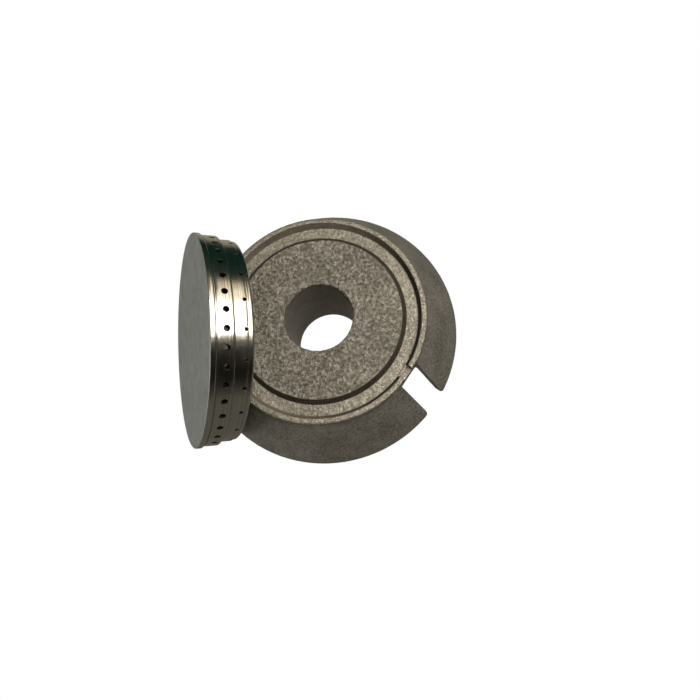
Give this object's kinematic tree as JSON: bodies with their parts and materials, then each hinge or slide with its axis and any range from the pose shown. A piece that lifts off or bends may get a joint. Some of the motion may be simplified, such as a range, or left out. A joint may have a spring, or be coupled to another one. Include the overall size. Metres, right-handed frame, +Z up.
{
  "type": "gas hob burner",
  "caption": "Gas hob burner: cast body with centre bore, ring channel and notched conical skirt, and its ported turned cap lifted off and leaning on the skirt.",
  "frame": {"origin": "on the burner's axis, at the lower end of the centre tube, where the mixing tube holds it; z = 0 is the surface that the part stands on", "axes": "+Z up the burner's axis, towards the rim; the cap lies on the -X side, and its own axis is in a plane parallel to XZ"},
  "size_m": [0.1091, 0.0952, 0.0677],
  "materials": {
    "cast_iron_blasted": "sand cast and shot blasted, sparkling grey-brown grain, smoother and darker on the skirt",
    "nickel_turned": "polished turned nickel side, fine ground matte grey face"
  },
  "bodies": {
    "body": {"burner_body": "cast_iron_blasted"},
    "cap": {"burner_cap": "nickel_turned"}
  },
  "joints": [
    {"name": "cap_lift", "type": "slide", "parent": "body", "child": "cap", "axis": [-0.8738, 0, 0.4863], "range_m": [0, 0.06]}
  ]
}
